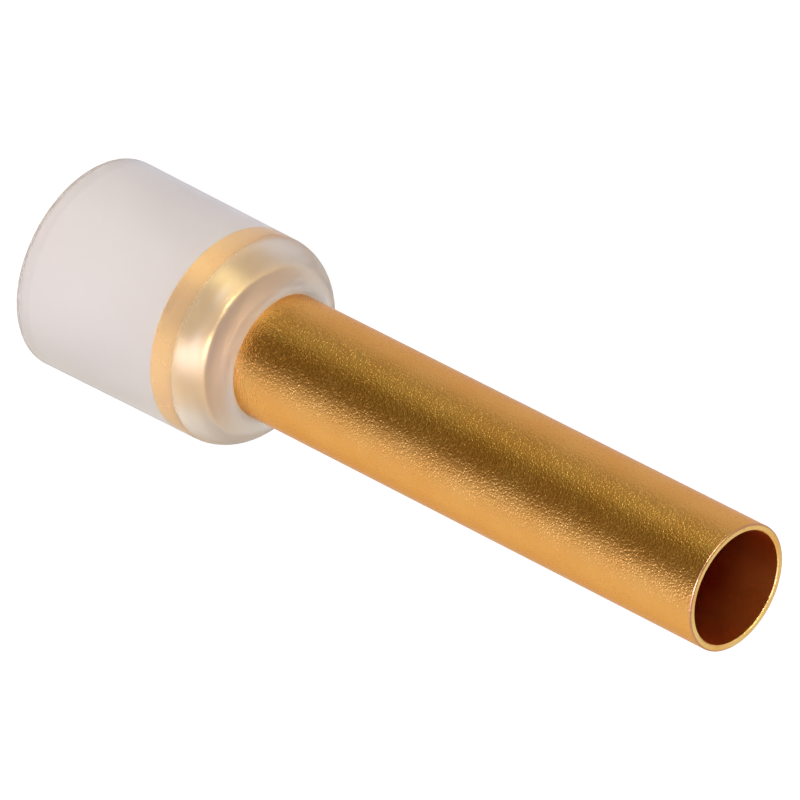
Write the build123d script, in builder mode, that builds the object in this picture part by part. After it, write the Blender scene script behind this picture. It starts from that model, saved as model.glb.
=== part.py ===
from build123d import *
import math
import os

# A wire ferrule: a thin metal sleeve whose flared end is pressed into a plastic collar.
# It stands on the collar's open end. The origin is on the axis at that end, and +Z runs
# along the sleeve to its free end. Every length is in millimetres, every turn in degrees.

# Metal sleeve, for a conductor of 6 square millimetres
bore_diameter = 3.5
sleeve_wall = 0.2
sleeve_reach = 17.85
free_end_round = 0.05
free_end_break = 0.03

# Flared cup at the sleeve's inner end: from a straight lip, a small bead, a long shoulder and
# a tight corner bend in to a straight slope, and a round throat turns back into the tube
cup_step = 0.85
lip_length = 0.84
bead_radius = 0.3
bead_turn = 8
shoulder_radius = 2.0
shoulder_turn = 22
corner_radius = 0.25
corner_turn = 28
throat_radius = 0.55

# Plastic collar: a drafted wall, a lead-in for the insulation and a rounded nose
collar_length = 7.56
rear_wall = 0.51
front_wall = 0.44
rear_edge_round = 0.06
lead_in_depth = 0.3
lead_in_width = 0.2
nose_length = 1.42
nose_width = 1.9
neck_land = 0.05

# Space between the sleeve and the collar that is pressed over it
fit_clearance = 0.01

# Radii that follow from the sizes above
sleeve_radius = bore_diameter / 2 + sleeve_wall
cup_radius = sleeve_radius + cup_step
neck_radius = sleeve_radius + fit_clearance
seat_radius = cup_radius + fit_clearance
collar_rear_radius = seat_radius + rear_wall
collar_front_radius = seat_radius + front_wall

# The flare's bends from the lip on, each with its radius and the leans it starts and ends at
shoulder_lean = bead_turn
corner_lean = shoulder_lean + shoulder_turn
slope_lean = corner_lean + corner_turn
flare_bends = (
    (bead_radius, 0, shoulder_lean),
    (shoulder_radius, shoulder_lean, corner_lean),
    (corner_radius, corner_lean, slope_lean),
)


def bend_step(radius, low_lean, high_lean):
    """Give how far a bend between two leans brings the wall in, and how far it rises."""
    low, high = math.radians(low_lean), math.radians(high_lean)
    return radius * (math.cos(low) - math.cos(high)), radius * (math.sin(high) - math.sin(low))


# The straight slope takes what the bends and the throat leave of the cup's step
bend_steps = [bend_step(*bend) for bend in flare_bends]
bend_steps.append(bend_step(throat_radius, 0, slope_lean))
slope_step = cup_step - sum(inwards for inwards, _ in bend_steps)
slope_rise = slope_step / math.tan(math.radians(slope_lean))
flare_height = slope_rise + sum(rise for _, rise in bend_steps)

# Heights, each from the one before it
throat_height = collar_length - neck_land
lip_height = throat_height - flare_height
rim_height = lip_height - lip_length
free_end_height = collar_length + sleeve_reach

# The nose is part of an ellipse, cut off where it reaches the sleeve
nose_height = collar_length - nose_length
nose_center = collar_front_radius - nose_width
nose_angle = math.acos((neck_radius - nose_center) / nose_width)
nose_rise = nose_length / math.sin(nose_angle)


def sleeve_skin(outwards, low, high):
    """Draw the sleeve's outer line, moved outwards, from the cup at low to the tube at high."""
    lip = Line((cup_radius + outwards, low), (cup_radius + outwards, lip_height))
    across, up = cup_radius, lip_height
    for radius, low_lean, high_lean in flare_bends:
        lean = math.radians(low_lean)
        bend = CenterArc(
            (across - radius * math.cos(lean), up - radius * math.sin(lean)),
            radius + outwards,
            start_angle=low_lean,
            arc_size=high_lean - low_lean,
        )
        inwards, rise = bend_step(radius, low_lean, high_lean)
        across, up = across - inwards, up + rise
    throat = CenterArc(
        (sleeve_radius + throat_radius, throat_height),
        throat_radius - outwards,
        start_angle=180,
        arc_size=slope_lean,
    )
    Line(bend @ 1, throat @ 1)
    tube = Line(
        (sleeve_radius + outwards, throat_height),
        (sleeve_radius + outwards, high),
    )
    return lip @ 0, tube @ 1


# The metal sleeve is one formed piece: tube, throat, flare and lip share one wall
with BuildPart() as metal_sleeve:
    with BuildSketch(Plane.XZ):
        with BuildLine():
            outer_rim, outer_end = sleeve_skin(0, rim_height, free_end_height)
            inner_rim, inner_end = sleeve_skin(-sleeve_wall, rim_height, free_end_height)
            Line(outer_rim, inner_rim)
            Line(outer_end, inner_end)
        make_face()
    revolve(axis=Axis.Z)
    # The cut end is smoothed outside and only deburred inside
    free_end_edges = metal_sleeve.edges().group_by(Axis.Z)[-1].sort_by(SortBy.RADIUS)
    fillet(free_end_edges[-1], free_end_round)
    chamfer(free_end_edges[0], free_end_break)

# The plastic collar is one moulding: its seat follows the cup, and its nose meets the tube
with BuildPart() as plastic_collar:
    with BuildSketch(Plane.XZ):
        with BuildLine():
            seat_start, _ = sleeve_skin(fit_clearance, lead_in_depth, collar_length)
            nose = EllipticalCenterArc(
                (nose_center, nose_height),
                nose_width,
                nose_rise,
                start_angle=0,
                arc_size=math.degrees(nose_angle),
            )
            Polyline(
                nose @ 0,
                (collar_rear_radius, 0),
                (seat_radius + lead_in_width, 0),
                seat_start,
            )
        make_face()
    revolve(axis=Axis.Z)
    rear_edges = plastic_collar.edges().group_by(Axis.Z)[0].sort_by(SortBy.RADIUS)
    fillet(rear_edges[-1], rear_edge_round)

metal_sleeve.part.label = "metal_sleeve"
plastic_collar.part.label = "plastic_collar"

os.makedirs("parts", exist_ok=True)
export_step(metal_sleeve.part, "parts/metal_sleeve.step")
export_step(plastic_collar.part, "parts/plastic_collar.step")
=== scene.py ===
import math

import bmesh
import bpy
from mathutils import Matrix, Vector


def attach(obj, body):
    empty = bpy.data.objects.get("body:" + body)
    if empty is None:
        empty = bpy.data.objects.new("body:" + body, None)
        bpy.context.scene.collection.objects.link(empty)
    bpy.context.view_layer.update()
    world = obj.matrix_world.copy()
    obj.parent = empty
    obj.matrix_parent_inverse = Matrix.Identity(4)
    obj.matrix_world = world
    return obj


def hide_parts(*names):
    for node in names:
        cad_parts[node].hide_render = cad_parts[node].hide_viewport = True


# A wire ferrule on a white table: a gold-coloured metal sleeve, pressed at its flared
# end into a collar of milky plastic. It stands on the collar's open end, as the frame
# does. Lengths are in metres, written as millimetres times mm.
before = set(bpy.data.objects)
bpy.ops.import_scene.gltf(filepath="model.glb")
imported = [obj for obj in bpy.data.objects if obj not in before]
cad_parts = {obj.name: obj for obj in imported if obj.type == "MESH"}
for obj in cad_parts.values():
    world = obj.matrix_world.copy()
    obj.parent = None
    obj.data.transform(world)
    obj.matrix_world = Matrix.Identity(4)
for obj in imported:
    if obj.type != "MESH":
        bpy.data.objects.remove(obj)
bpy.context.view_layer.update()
mm = 0.001

# Metal sleeve
# One thin drawn tube of copper alloy, plated gold-coloured all over. Its inner end is
# flared to a cup, its free end is cut square, and the plating leaves fine pits outside.
sleeve_radius = 1.95 * mm
sleeve_wall = 0.2 * mm
free_end_height = 25.41 * mm
free_end_round = 0.05 * mm
free_end_break = 0.03 * mm

cup_radius = 2.8 * mm
rim_height = 5.193 * mm
lip_height = 6.033 * mm
throat_height = 7.51 * mm
throat_radius = 0.55 * mm
collar_length = 7.56 * mm
# The bends from the lip to the slope, each with its radius and how far it turns
flare_bends = (
    (0.3 * mm, math.radians(8)),
    (2.0 * mm, math.radians(22)),
    (0.25 * mm, math.radians(28)),
)

# How finely a profile bends and turns, how near two points become one, and how sharp a
# bend has to be to show as an edge
bend_steps = 16
lathe_steps = 256
closest = 0.0001 * mm
sharp_angle = math.radians(35)


def straight_to(profile, tip, radius, height):
    """Draw the profile on from its tip in a straight line, and give the new tip."""
    drawn = bmesh.ops.extrude_vert_indiv(profile, verts=[tip])["verts"][0]
    drawn.co = (radius, 0, height)
    return drawn


def bend_about(profile, tip, radius, height, turn):
    """Draw the profile on in a round bend about that point, and give the new tip."""
    drawn = bmesh.ops.spin(
        profile,
        geom=[tip],
        cent=(radius, 0, height),
        axis=(0, -1, 0),
        angle=turn,
        steps=bend_steps,
        use_duplicate=False,
    )
    return next(g for g in drawn["geom_last"] if isinstance(g, bmesh.types.BMVert))


def flare(profile, tip, inwards):
    """Draw the flare from the lip to the tube, that far inwards of the outer skin."""
    slope = 0
    for bend, turn in flare_bends:
        reach = bend - inwards
        tip = bend_about(
            profile,
            tip,
            tip.co.x - reach * math.cos(slope),
            tip.co.z - reach * math.sin(slope),
            turn,
        )
        slope += turn
    reach = throat_radius + inwards
    throat_centre = sleeve_radius + throat_radius
    tip = straight_to(
        profile,
        tip,
        throat_centre - reach * math.cos(slope),
        throat_height - reach * math.sin(slope),
    )
    return bend_about(profile, tip, throat_centre, throat_height, -slope)


def lathe(profile, name):
    """Turn the closed profile round the Z axis into a finished piece."""
    bmesh.ops.remove_doubles(profile, verts=profile.verts, dist=closest)
    bmesh.ops.spin(
        profile,
        geom=profile.verts[:] + profile.edges[:],
        cent=(0, 0, 0),
        axis=(0, 0, 1),
        angle=math.tau,
        steps=lathe_steps,
        use_merge=True,
    )
    bmesh.ops.remove_doubles(profile, verts=profile.verts, dist=closest)
    bmesh.ops.recalc_face_normals(profile, faces=profile.faces)
    mesh = bpy.data.meshes.new(name)
    profile.to_mesh(mesh)
    profile.free()
    mesh.shade_smooth()
    mesh.set_sharp_from_angle(angle=sharp_angle)
    piece = bpy.data.objects.new(name, mesh)
    bpy.context.scene.collection.objects.link(piece)
    return piece


# The two skins are drawn apart and joined by the lip's rim and the cut end
bore_radius = sleeve_radius - sleeve_wall
profile = bmesh.new()
outer_rim = profile.verts.new((cup_radius, 0, rim_height))
tip = straight_to(profile, outer_rim, cup_radius, lip_height)
tip = flare(profile, tip, 0)
tip = straight_to(profile, tip, sleeve_radius, collar_length)
tip = straight_to(profile, tip, sleeve_radius, free_end_height - free_end_round)
tip = bend_about(
    profile,
    tip,
    sleeve_radius - free_end_round,
    free_end_height - free_end_round,
    math.pi / 2,
)
straight_to(profile, tip, bore_radius + free_end_break, free_end_height)

inner_rim = profile.verts.new((cup_radius - sleeve_wall, 0, rim_height))
straight_to(profile, inner_rim, cup_radius, rim_height)
tip = straight_to(profile, inner_rim, cup_radius - sleeve_wall, lip_height)
tip = flare(profile, tip, sleeve_wall)
tip = straight_to(profile, tip, bore_radius, free_end_height - free_end_break)
straight_to(profile, tip, bore_radius + free_end_break, free_end_height)
sleeve = lathe(profile, "metal_sleeve_plated")


def named_material(name):
    """Make a node material, and give it with its nodes, its links and its shader."""
    made = bpy.data.materials.new(name)
    made.use_nodes = True
    tree = made.node_tree
    return made, tree.nodes, tree.links, tree.nodes["Principled BSDF"]


def shade_ramp(nodes, *stops):
    """Add a colour ramp with these stops, each a place from 0 to 1 and a colour."""
    ramp = nodes.new("ShaderNodeValToRGB")
    elements = ramp.color_ramp.elements
    for stop, (place, colour) in zip(elements, (stops[0], stops[-1])):
        stop.position = place
        stop.color = (*colour, 1)
    for place, colour in stops[1:-1]:
        elements.new(place).color = (*colour, 1)
    return ramp


def calculate(nodes, kind, operation):
    """Add a Math or Vector Math node that does this operation."""
    made = nodes.new(kind)
    made.operation = operation
    return made


# Grain of the plating: shallow waves, a little under a tenth of a millimetre long, with
# small pits in them
waves_per_metre = 13000
pits_per_metre = 14000
grain = bpy.data.node_groups.new("plating_grain", "ShaderNodeTree")
grain.interface.new_socket(
    name="Depth", in_out="INPUT", socket_type="NodeSocketFloat"
)
grain.interface.new_socket(
    name="Height", in_out="OUTPUT", socket_type="NodeSocketFloat"
)
nodes, links = grain.nodes, grain.links
given = nodes.new("NodeGroupInput")
out = nodes.new("NodeGroupOutput")
place = nodes.new("ShaderNodeTexCoord")
waves = nodes.new("ShaderNodeTexNoise")
waves.inputs["Scale"].default_value = waves_per_metre
waves.inputs["Detail"].default_value = 2
waves.inputs["Roughness"].default_value = 0.55
pits = nodes.new("ShaderNodeTexVoronoi")
pits.inputs["Scale"].default_value = pits_per_metre
pit_depth = nodes.new("ShaderNodeMapRange")
pit_depth.inputs["From Max"].default_value = 0.45
pit_depth.inputs["To Min"].default_value = -0.5
pit_depth.inputs["To Max"].default_value = 0
together = calculate(nodes, "ShaderNodeMath", "ADD")
deep = calculate(nodes, "ShaderNodeMath", "MULTIPLY")
links.new(place.outputs["Object"], waves.inputs["Vector"])
links.new(place.outputs["Object"], pits.inputs["Vector"])
links.new(pits.outputs["Distance"], pit_depth.inputs["Value"])
links.new(waves.outputs["Fac"], together.inputs[0])
links.new(pit_depth.outputs["Result"], together.inputs[1])
links.new(together.outputs[0], deep.inputs[0])
links.new(given.outputs["Depth"], deep.inputs[1])
links.new(deep.outputs[0], out.inputs["Height"])


patches_per_metre = 700
sheen_drift = 0.04
grain_depth = 0.02 * mm


def grained_metal(name, dull, bright, depth, roughness, at_a_slant):
    """A metal with the plating's grain, whose colour drifts between dull and bright."""
    made, nodes, links, surface = named_material(name)
    surface.inputs["Metallic"].default_value = 1
    surface.inputs["Specular Tint"].default_value = (*at_a_slant, 1)
    place = nodes.new("ShaderNodeTexCoord")
    drift = nodes.new("ShaderNodeTexNoise")
    drift.inputs["Scale"].default_value = patches_per_metre
    drift.inputs["Detail"].default_value = 4
    colour = shade_ramp(nodes, (0.35, dull), (0.65, bright))
    links.new(place.outputs["Object"], drift.inputs["Vector"])
    links.new(drift.outputs["Fac"], colour.inputs["Fac"])
    links.new(colour.outputs["Color"], surface.inputs["Base Color"])
    sheen = nodes.new("ShaderNodeMapRange")
    sheen.inputs["To Min"].default_value = roughness - sheen_drift
    sheen.inputs["To Max"].default_value = roughness + sheen_drift
    links.new(drift.outputs["Fac"], sheen.inputs["Value"])
    links.new(sheen.outputs["Result"], surface.inputs["Roughness"])
    relief = nodes.new("ShaderNodeGroup")
    relief.node_tree = grain
    relief.inputs["Depth"].default_value = depth
    bump = nodes.new("ShaderNodeBump")
    bump.inputs["Strength"].default_value = 1
    bump.inputs["Distance"].default_value = grain_depth
    links.new(relief.outputs["Height"], bump.inputs["Height"])
    links.new(bump.outputs["Normal"], surface.inputs["Normal"])
    return made


# Each stretch of the tube has its dull and bright colour, the depth of its grain, its
# roughness, and its tint at a slant. What shows through the plastic has little grain.
# There the slope and the throat are rougher and get darker colours than the shoulder,
# which is painted shade, and the neck gets a paler colour, which is a painted
# highlight.
slant_tint = (1, 0.8, 0.6)
no_tint = (1, 1, 1)
platings = {}
for name, dull, bright, depth, roughness, at_a_slant in (
    ("gold_plating", (0.85, 0.40, 0.10), (0.88, 0.44, 0.12), 0.7, 0.2, slant_tint),
    ("cup_plating", (0.95, 0.54, 0.13), (0.98, 0.59, 0.16), 0.12, 0.28, slant_tint),
    ("cut_end", (0.90, 0.50, 0.16), (0.99, 0.70, 0.30), 0.8, 0.3, no_tint),
    ("bore_plating", (0.76, 0.24, 0.045), (0.82, 0.27, 0.055), 0.3, 0.38, slant_tint),
    ("flare_plating", (0.91, 0.62, 0.25), (0.95, 0.67, 0.29), 0.08, 0.21, no_tint),
    # The slope's and the throat's darker colours are painted shade
    ("slope_painted_shade", (0.57, 0.32, 0.11), (0.62, 0.36, 0.14), 0.08, 0.4, no_tint),
    ("throat_painted_shade", (0.61, 0.37, 0.14), (0.66, 0.42, 0.18), 0.08, 0.7, no_tint),
    ("worn_edge", (0.60, 0.27, 0.15), (0.68, 0.33, 0.19), 0.4, 0.3, no_tint),
    # The neck's paler colour is a painted highlight
    ("neck_painted_highlight", (0.96, 0.61, 0.22), (1, 0.67, 0.28), 0.08, 0.6, no_tint),
):
    platings[name] = len(sleeve.data.materials)
    sleeve.data.materials.append(
        grained_metal(name, dull, bright, depth, roughness, at_a_slant)
    )

# Where the painted shade of the slope and throat and the neck's painted highlight lie
corner_height = 6.88 * mm
slope_height = 7.05 * mm
neck_height = 7.3 * mm
facing_up = 0.999
for face in sleeve.data.polygons:
    centre = face.center
    facing_in = face.normal.x * centre.x + face.normal.y * centre.y < 0
    on_end = face.normal.z > facing_up and centre.z > throat_height
    on_break = facing_in and centre.z > free_end_height - free_end_break
    if on_end or on_break:
        look = "cut_end"
    elif facing_in:
        look = "bore_plating"
    elif centre.z > free_end_height - free_end_round:
        look = "worn_edge"
    elif centre.z < lip_height:
        look = "cup_plating"
    elif centre.z < corner_height:
        look = "flare_plating"
    elif centre.z < slope_height:
        look = "slope_painted_shade"
    elif centre.z < neck_height:
        look = "throat_painted_shade"
    elif centre.z < collar_length:
        look = "neck_painted_highlight"
    else:
        look = "gold_plating"
    face.material_index = platings[look]
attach(sleeve, "root")
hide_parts("metal_sleeve")

# Plastic collar
# One moulding of milky, slightly pink plastic, pressed hard over the sleeve's cup. Its
# rear half is an empty mouth for the wire's insulation, and its nose closes round the
# sleeve.
collar_rear_radius = 3.32 * mm
collar_front_radius = 3.25 * mm
collar_seat_radius = 2.81 * mm
rear_edge_round = 0.06 * mm
lead_in_width = 0.2 * mm
lead_in_depth = 0.3 * mm
nose_height = 6.14 * mm
nose_width = 1.9 * mm
nose_centre = 1.35 * mm
neck_radius = 1.96 * mm
grip = 0.05 * mm

nose_angle = math.acos((neck_radius - nose_centre) / nose_width)
nose_rise = (collar_length - nose_height) / math.sin(nose_angle)
profile = bmesh.new()
mouth = profile.verts.new((collar_seat_radius + lead_in_width, 0, 0))
tip = straight_to(profile, mouth, collar_rear_radius - rear_edge_round, 0)
tip = bend_about(
    profile,
    tip,
    collar_rear_radius - rear_edge_round,
    rear_edge_round,
    math.pi / 2,
)
tip = straight_to(profile, tip, collar_front_radius, nose_height)
drawn = set(profile.verts)
tip = bend_about(profile, tip, nose_centre, nose_height, nose_angle)
bmesh.ops.scale(
    profile,
    vec=(1, 1, nose_rise / nose_width),
    space=Matrix.Translation((0, 0, -nose_height)),
    verts=[v for v in profile.verts if v not in drawn],
)
straight_to(profile, tip, sleeve_radius - grip, collar_length)

# Inside, the mouth is bare plastic. The plastic grips the metal at the cup's lip and at
# the neck, and along the flare a thin space parts the two
tip = straight_to(profile, mouth, collar_seat_radius, lead_in_depth)
tip = straight_to(profile, tip, collar_seat_radius, rim_height + grip)
tip = straight_to(profile, tip, cup_radius - grip, rim_height + grip)
tip = straight_to(profile, tip, cup_radius - grip, lip_height)
tip = straight_to(profile, tip, collar_seat_radius, lip_height)
tip = flare(profile, tip, sleeve_radius - neck_radius)
tip = straight_to(profile, tip, sleeve_radius - grip, throat_height)
straight_to(profile, tip, sleeve_radius - grip, collar_length)
collar = lathe(profile, "plastic_collar_milky")


plastic_ior = 1.49
clouds_per_metre = 250
cloud_drift = 0.08
haze_start = 0.78


def milky(name, clearness, roughness, neck_haze, *stops):
    """A clouded plastic, with colour stops from the open end at 0 to the nose at 1."""
    made, nodes, links, surface = named_material(name)
    surface.inputs["IOR"].default_value = plastic_ior
    surface.inputs["Transmission Weight"].default_value = clearness
    place = nodes.new("ShaderNodeTexCoord")
    cloud = nodes.new("ShaderNodeTexNoise")
    cloud.inputs["Scale"].default_value = clouds_per_metre
    cloud.inputs["Detail"].default_value = 2
    drift = nodes.new("ShaderNodeMapRange")
    drift.inputs["To Min"].default_value = -cloud_drift
    drift.inputs["To Max"].default_value = cloud_drift
    height = nodes.new("ShaderNodeSeparateXYZ")
    along = nodes.new("ShaderNodeMapRange")
    along.inputs["From Max"].default_value = collar_length
    cloudy = calculate(nodes, "ShaderNodeMath", "ADD")
    milk = shade_ramp(nodes, *stops)
    links.new(place.outputs["Object"], cloud.inputs["Vector"])
    links.new(cloud.outputs["Fac"], drift.inputs["Value"])
    links.new(place.outputs["Object"], height.inputs[0])
    links.new(height.outputs["Z"], along.inputs["Value"])
    links.new(along.outputs["Result"], cloudy.inputs[0])
    links.new(drift.outputs["Result"], cloudy.inputs[1])
    links.new(cloudy.outputs[0], milk.inputs["Fac"])
    links.new(milk.outputs["Color"], surface.inputs["Base Color"])
    haze = nodes.new("ShaderNodeMapRange")
    haze.inputs["From Min"].default_value = haze_start
    haze.inputs["To Min"].default_value = roughness
    haze.inputs["To Max"].default_value = roughness + neck_haze
    links.new(cloudy.outputs[0], haze.inputs["Value"])
    links.new(haze.outputs["Result"], surface.inputs["Roughness"])
    return made


# Each stretch of the plastic has its clearness, its roughness, how much rougher it gets
# at the neck, and its colours. The mouth's wall and the lead-in are the cloudiest, the
# seat is clear and smooth, and the nose gets cloudier in two steps towards the neck.
# Outside, the colour darkens over the flare's corner and slope, which is painted shade,
# and turns pale at the neck, which is a painted highlight.
outside_stops = (
    (0.1, (0.94, 0.89, 0.875)),
    (0.78, (0.94, 0.89, 0.875)),
    (0.88, (0.74, 0.68, 0.64)),
    (0.93, (0.79, 0.72, 0.69)),
    (0.97, (1, 0.95, 0.93)),
)
# Inside the mouth the colour grows paler towards the cup, which is painted light that
# lifts the shade deeper in the mouth.
mouth_stops = (
    (0.1, (0.93, 0.88, 0.865)),
    (0.35, (0.93, 0.885, 0.875)),
    (0.65, (0.97, 0.935, 0.92)),
)
seat_stops = ((0, (0.98, 0.95, 0.93)), (1, (1, 0.97, 0.95)))
# The rear edge's pinkish-orange colour is painted light along the rear outline
edge_stops = ((0, (1, 0.86, 0.77)), (1, (1, 0.86, 0.77)))
# The lead-in's darker colour is painted shade along the chamfer
lead_in_stops = ((0, (0.88, 0.83, 0.81)), (1, (0.88, 0.83, 0.81)))
plastics = {}
for name, clearness, roughness, neck_haze, stops in (
    ("milky_plastic", 0.84, 0.21, 0.28, outside_stops),
    ("mouth_plastic", 0.1, 0.4, 0, mouth_stops),
    ("seat_plastic", 1, 0.06, 0.25, seat_stops),
    ("edge_plastic", 0.78, 0.5, 0, edge_stops),
    ("neck_plastic_0", 0.815, 0.21, 0.28, outside_stops),
    ("neck_plastic_1", 0.785, 0.21, 0.28, outside_stops),
    ("lead_in_plastic", 0.1, 0.4, 0, lead_in_stops),
):
    plastics[name] = len(collar.data.materials)
    collar.data.materials.append(
        milky(name, clearness, roughness, neck_haze, *stops)
    )

cloudier_height = 7.25 * mm
cloudiest_height = 7.4 * mm
for face in collar.data.polygons:
    centre = face.center
    facing_in = face.normal.x * centre.x + face.normal.y * centre.y < 0
    if centre.z < rear_edge_round:
        look = "edge_plastic"
    elif facing_in and centre.z < lead_in_depth:
        look = "lead_in_plastic"
    elif facing_in and centre.z < rim_height:
        look = "mouth_plastic"
    elif facing_in:
        look = "seat_plastic"
    elif centre.z > cloudiest_height:
        look = "neck_plastic_1"
    elif centre.z > cloudier_height:
        look = "neck_plastic_0"
    else:
        look = "milky_plastic"
    face.material_index = plastics[look]
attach(collar, "root")
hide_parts("plastic_collar")

# Table and room
# A plain white table in a white room. What the metal mirrors is white too, but duller
# and browner on the camera's side, so that the tube reads as round, and brighter by the
# lamps.
table_size = 2.0
# A Mix node's sockets for colours: the two that go in, and the mixed one
mix_first, mix_second, mix_out = 6, 7, 2
surroundings = bpy.data.node_groups.new("studio_surroundings", "ShaderNodeTree")
surroundings.interface.new_socket(
    name="Direction", in_out="INPUT", socket_type="NodeSocketVector"
)
surroundings.interface.new_socket(
    name="Level", in_out="OUTPUT", socket_type="NodeSocketColor"
)
surroundings.interface.new_socket(
    name="Veiled", in_out="OUTPUT", socket_type="NodeSocketColor"
)
nodes, links = surroundings.nodes, surroundings.links
given = nodes.new("NodeGroupInput")
out = nodes.new("NodeGroupOutput")
split = nodes.new("ShaderNodeSeparateXYZ")
towards_camera = calculate(nodes, "ShaderNodeMath", "MULTIPLY")
towards_camera.inputs[1].default_value = -1
bearing = calculate(nodes, "ShaderNodeMath", "ARCTAN2")
turn = nodes.new("ShaderNodeMapRange")
turn.inputs["From Min"].default_value = -math.pi
turn.inputs["From Max"].default_value = math.pi
links.new(given.outputs["Direction"], split.inputs[0])
links.new(split.outputs["Y"], towards_camera.inputs[0])
links.new(split.outputs["X"], bearing.inputs[0])
links.new(towards_camera.outputs[0], bearing.inputs[1])
links.new(bearing.outputs[0], turn.inputs["Value"])


def at_bearing(degrees, *colour):
    """A ramp stop at a bearing from the camera's side to +X. One level is a grey."""
    return (degrees + 180) / 360, colour if len(colour) == 3 else colour * 3


walls = shade_ramp(
    nodes,
    at_bearing(-180, 0.72, 0.72, 0.86),
    at_bearing(-120, 0.68, 0.69, 0.82),
    at_bearing(-92, 0.58, 0.58, 0.63),
    at_bearing(-70, 0.30, 0.31, 0.28),
    at_bearing(-49, 0.33, 0.345, 0.21),
    at_bearing(-16, 0.085, 0.064, 0.015),
    at_bearing(16, 0.10, 0.073, 0.03),
    at_bearing(42, 0.45, 0.46, 0.47),
    at_bearing(68, 0.84, 0.88, 0.96),
    at_bearing(100, 0.93, 0.93, 0.94),
    at_bearing(140, 0.79, 0.74, 0.62),
    at_bearing(180, 0.72, 0.72, 0.86),
)
walls.color_ramp.interpolation = "EASE"
glare = shade_ramp(
    nodes,
    at_bearing(-180, 0),
    at_bearing(-73, 0),
    at_bearing(-49, 0.45, 0.52, 0.4),
    at_bearing(-25, 0),
    at_bearing(22, 0),
    at_bearing(46, 0.7, 0.8, 1.4),
    at_bearing(70, 0),
    at_bearing(180, 0),
)
glare.color_ramp.interpolation = "EASE"
# Heights in this room are rises over a run of 1, and below level they are negative
across = calculate(nodes, "ShaderNodeMath", "MULTIPLY")
along = calculate(nodes, "ShaderNodeMath", "MULTIPLY_ADD")
span = calculate(nodes, "ShaderNodeMath", "SQRT")
rise = calculate(nodes, "ShaderNodeMath", "DIVIDE")
# The walls get brighter and yellower the higher they are seen, and the floor close by
# is pale grey
higher = nodes.new("ShaderNodeMapRange")
higher.inputs["From Min"].default_value = -1.03
higher.inputs["From Max"].default_value = 1.64
lifted = nodes.new("ShaderNodeMix")
lifted.data_type = "RGBA"
lifted.inputs[mix_second].default_value = (0.85, 0.82, 0.50, 1)
closer = nodes.new("ShaderNodeMapRange")
closer.inputs["From Min"].default_value = -1.5
closer.inputs["From Max"].default_value = -3
close_by = nodes.new("ShaderNodeMix")
close_by.data_type = "RGBA"
close_by.inputs[mix_second].default_value = (0.85, 0.85, 0.85, 1)
links.new(rise.outputs[0], higher.inputs["Value"])
links.new(higher.outputs["Result"], lifted.inputs[0])
links.new(walls.outputs["Color"], lifted.inputs[mix_first])
links.new(rise.outputs[0], closer.inputs["Value"])
links.new(closer.outputs["Result"], close_by.inputs[0])
links.new(lifted.outputs[mix_out], close_by.inputs[mix_first])
# The glare on the lamps' sides fades in from well below level to just below it
low = nodes.new("ShaderNodeMapRange")
low.interpolation_type = "SMOOTHSTEP"
low.inputs["From Min"].default_value = -0.48
low.inputs["From Max"].default_value = -0.1
low.inputs["To Max"].default_value = 3.2
links.new(split.outputs["X"], across.inputs[0])
links.new(split.outputs["X"], across.inputs[1])
links.new(split.outputs["Y"], along.inputs[0])
links.new(split.outputs["Y"], along.inputs[1])
links.new(across.outputs[0], along.inputs[2])
links.new(along.outputs[0], span.inputs[0])
links.new(split.outputs["Z"], rise.inputs[0])
links.new(span.outputs[0], rise.inputs[1])
links.new(rise.outputs[0], low.inputs["Value"])
glow = calculate(nodes, "ShaderNodeVectorMath", "SCALE")
total = calculate(nodes, "ShaderNodeVectorMath", "ADD")
# The ceiling is dimmer than the walls
high = nodes.new("ShaderNodeMapRange")
high.interpolation_type = "SMOOTHSTEP"
high.inputs["From Min"].default_value = 1.2
high.inputs["From Max"].default_value = 2.6
high.inputs["To Min"].default_value = 1
high.inputs["To Max"].default_value = 0.18
dimmed = calculate(nodes, "ShaderNodeVectorMath", "SCALE")
# What the metal mirrors inside the plastic is fainter, and the milk's own light lies
# over it
veil = calculate(nodes, "ShaderNodeVectorMath", "MULTIPLY_ADD")
veil.inputs[1].default_value = (0.8, 0.8, 0.8)
veil_light = shade_ramp(
    nodes,
    at_bearing(-180, 0.56),
    at_bearing(-110, 0.38),
    at_bearing(-60, 0.37),
    at_bearing(-16, 0.46),
    at_bearing(12, 0.46),
    at_bearing(80, 0.52),
    at_bearing(180, 0.58),
)
# The milk holds more light low down on the lamps' sides
milk_light = shade_ramp(
    nodes,
    at_bearing(-180, 0),
    at_bearing(-100, 0.2),
    at_bearing(-55, 0.85),
    at_bearing(-30, 0.45),
    at_bearing(-12, 0),
    at_bearing(14, 0),
    at_bearing(42, 0.32),
    at_bearing(70, 0),
    at_bearing(180, 0),
)
low_down = nodes.new("ShaderNodeMapRange")
low_down.inputs["From Min"].default_value = -0.3
low_down.inputs["From Max"].default_value = -0.6
milk_glow = calculate(nodes, "ShaderNodeVectorMath", "SCALE")
milk = calculate(nodes, "ShaderNodeVectorMath", "ADD")
veil_dimmed = calculate(nodes, "ShaderNodeVectorMath", "SCALE")
links.new(turn.outputs["Result"], veil_light.inputs["Fac"])
links.new(turn.outputs["Result"], milk_light.inputs["Fac"])
links.new(rise.outputs[0], low_down.inputs["Value"])
links.new(milk_light.outputs["Color"], milk_glow.inputs[0])
links.new(low_down.outputs["Result"], milk_glow.inputs["Scale"])
links.new(veil_light.outputs["Color"], milk.inputs[0])
links.new(milk_glow.outputs[0], milk.inputs[1])
links.new(milk.outputs[0], veil.inputs[2])
links.new(turn.outputs["Result"], walls.inputs["Fac"])
links.new(turn.outputs["Result"], glare.inputs["Fac"])
links.new(glare.outputs["Color"], glow.inputs[0])
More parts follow.
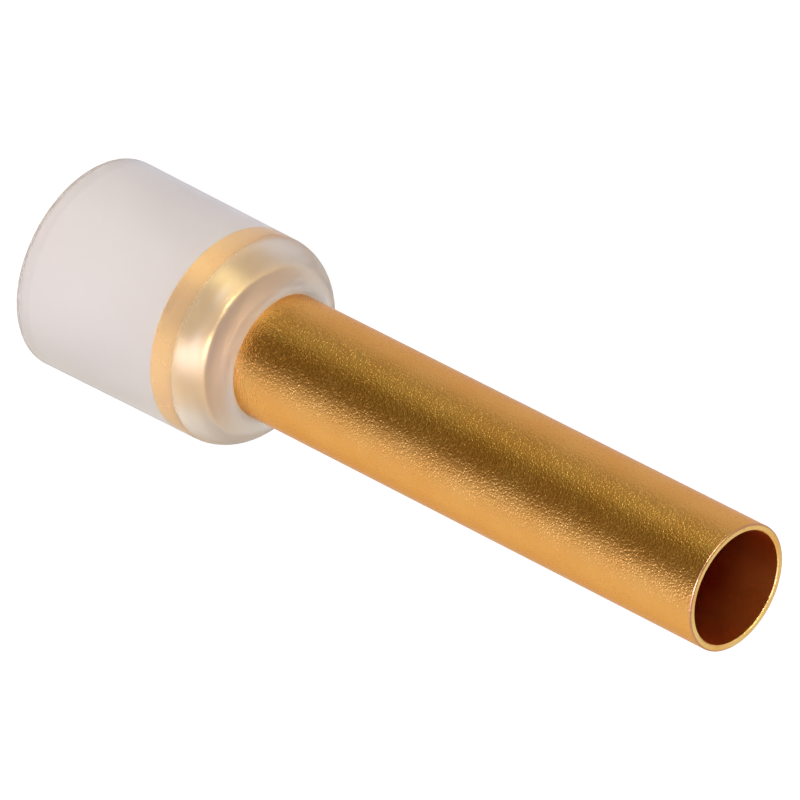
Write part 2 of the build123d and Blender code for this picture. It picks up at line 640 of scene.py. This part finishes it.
links.new(low.outputs["Result"], glow.inputs["Scale"])
links.new(close_by.outputs[mix_out], total.inputs[0])
links.new(glow.outputs[0], total.inputs[1])
links.new(rise.outputs[0], high.inputs["Value"])
links.new(total.outputs[0], dimmed.inputs[0])
links.new(high.outputs["Result"], dimmed.inputs["Scale"])
links.new(dimmed.outputs[0], out.inputs["Level"])
links.new(total.outputs[0], veil.inputs[0])
links.new(veil.outputs[0], veil_dimmed.inputs[0])
links.new(high.outputs["Result"], veil_dimmed.inputs["Scale"])
links.new(veil_dimmed.outputs[0], out.inputs["Veiled"])

sheet = bmesh.new()
bmesh.ops.create_grid(sheet, x_segments=1, y_segments=1, size=table_size / 2)
table_mesh = bpy.data.meshes.new("table")
sheet.to_mesh(table_mesh)
sheet.free()
table = bpy.data.objects.new("table", table_mesh)
bpy.context.scene.collection.objects.link(table)
table.visible_glossy = False
table.visible_transmission = False

white = bpy.data.materials.new("table_white")
white.use_nodes = True
nodes, links = white.node_tree.nodes, white.node_tree.links
nodes.clear()
ray = nodes.new("ShaderNodeLightPath")
matt = nodes.new("ShaderNodeBsdfDiffuse")
matt.inputs["Color"].default_value = (0.8, 0.8, 0.8, 1)
glow = nodes.new("ShaderNodeEmission")
glow.inputs["Strength"].default_value = 0.55
both = nodes.new("ShaderNodeAddShader")
links.new(matt.outputs[0], both.inputs[0])
links.new(glow.outputs[0], both.inputs[1])
seen = nodes.new("ShaderNodeMixShader")
links.new(ray.outputs["Is Camera Ray"], seen.inputs[0])
links.new(matt.outputs[0], seen.inputs[1])
links.new(both.outputs[0], seen.inputs[2])
out = nodes.new("ShaderNodeOutputMaterial")
links.new(seen.outputs[0], out.inputs["Surface"])
table.data.materials.append(white)

world = bpy.data.worlds.new("room")
bpy.context.scene.world = world
world.use_nodes = True
nodes, links = world.node_tree.nodes, world.node_tree.links
nodes.clear()
ray = nodes.new("ShaderNodeLightPath")
place = nodes.new("ShaderNodeTexCoord")
room = nodes.new("ShaderNodeGroup")
room.node_tree = surroundings
plain = nodes.new("ShaderNodeBackground")
plain.inputs["Strength"].default_value = 0.54
mirrored = nodes.new("ShaderNodeBackground")
clear = nodes.new("ShaderNodeBackground")
clear.inputs["Color"].default_value = (1, 1, 1, 1)
veiled = nodes.new("ShaderNodeBackground")
links.new(place.outputs["Generated"], room.inputs["Direction"])
links.new(room.outputs["Level"], mirrored.inputs["Color"])
links.new(room.outputs["Veiled"], veiled.inputs["Color"])
behind = nodes.new("ShaderNodeMixShader")
links.new(ray.outputs["Glossy Depth"], behind.inputs[0])
links.new(clear.outputs[0], behind.inputs[1])
links.new(veiled.outputs[0], behind.inputs[2])
first = nodes.new("ShaderNodeMixShader")
links.new(ray.outputs["Is Glossy Ray"], first.inputs[0])
links.new(plain.outputs[0], first.inputs[1])
links.new(mirrored.outputs[0], first.inputs[2])
either = calculate(nodes, "ShaderNodeMath", "MAXIMUM")
links.new(ray.outputs["Is Camera Ray"], either.inputs[0])
links.new(ray.outputs["Is Transmission Ray"], either.inputs[1])
last = nodes.new("ShaderNodeMixShader")
links.new(either.outputs[0], last.inputs[0])
links.new(first.outputs[0], last.inputs[1])
links.new(behind.outputs[0], last.inputs[2])
out = nodes.new("ShaderNodeOutputWorld")
links.new(last.outputs[0], out.inputs["Surface"])

# Lamps
# Two tall soft lamps light the ferrule, one from each side of the camera and from lower
# than it.
ferrule_middle = Vector((0, 0, 12.7 * mm))
lamp_distance = 0.25
lamp_rise = math.radians(27)
lamp_tall = 0.07
for name, degrees, watts, wide in (
    ("left_softbox", -31, 0.22, 0.035),
    ("right_softbox", 27, 0.28, 0.055),
):
    lamp = bpy.data.lights.new(name, "AREA")
    lamp.shape = "RECTANGLE"
    lamp.size = wide
    lamp.size_y = lamp_tall
    lamp.energy = watts
    stand = bpy.data.objects.new(name, lamp)
    bpy.context.scene.collection.objects.link(stand)
    aside = math.radians(degrees)
    away = Vector(
        (
            math.sin(aside) * math.cos(lamp_rise),
            -math.cos(aside) * math.cos(lamp_rise),
            math.sin(lamp_rise),
        )
    )
    stand.location = ferrule_middle + away * lamp_distance
    stand.rotation_euler = away.to_track_quat("Z", "Y").to_euler()

# Camera
# It looks down on the free end at a slant and is rolled, so that the ferrule lies
# across the picture. The free end's centre shows low on the right of the frame.
camera_rise = math.radians(35.48)
camera_roll = math.radians(116.84)
camera_lens = 491.2
sensor_width = 36
end_distance = 0.3073
end_across = 0.42083
end_up = -0.23521

camera_data = bpy.data.cameras.new("camera")
camera_data.lens = camera_lens
camera_data.sensor_width = sensor_width
camera = bpy.data.objects.new("camera", camera_data)
bpy.context.scene.collection.objects.link(camera)
facing = Matrix.Rotation(math.pi / 2 - camera_rise, 4, "X") @ Matrix.Rotation(
    camera_roll, 4, "Z"
)
frame_span = end_distance * sensor_width / camera_lens
end_seen = Vector((end_across * frame_span, end_up * frame_span, -end_distance))
free_end = Vector((0, 0, free_end_height))
camera.matrix_world = Matrix.Translation(free_end - facing @ end_seen) @ facing
bpy.context.scene.camera = camera
bpy.context.scene.view_settings.view_transform = "Standard"
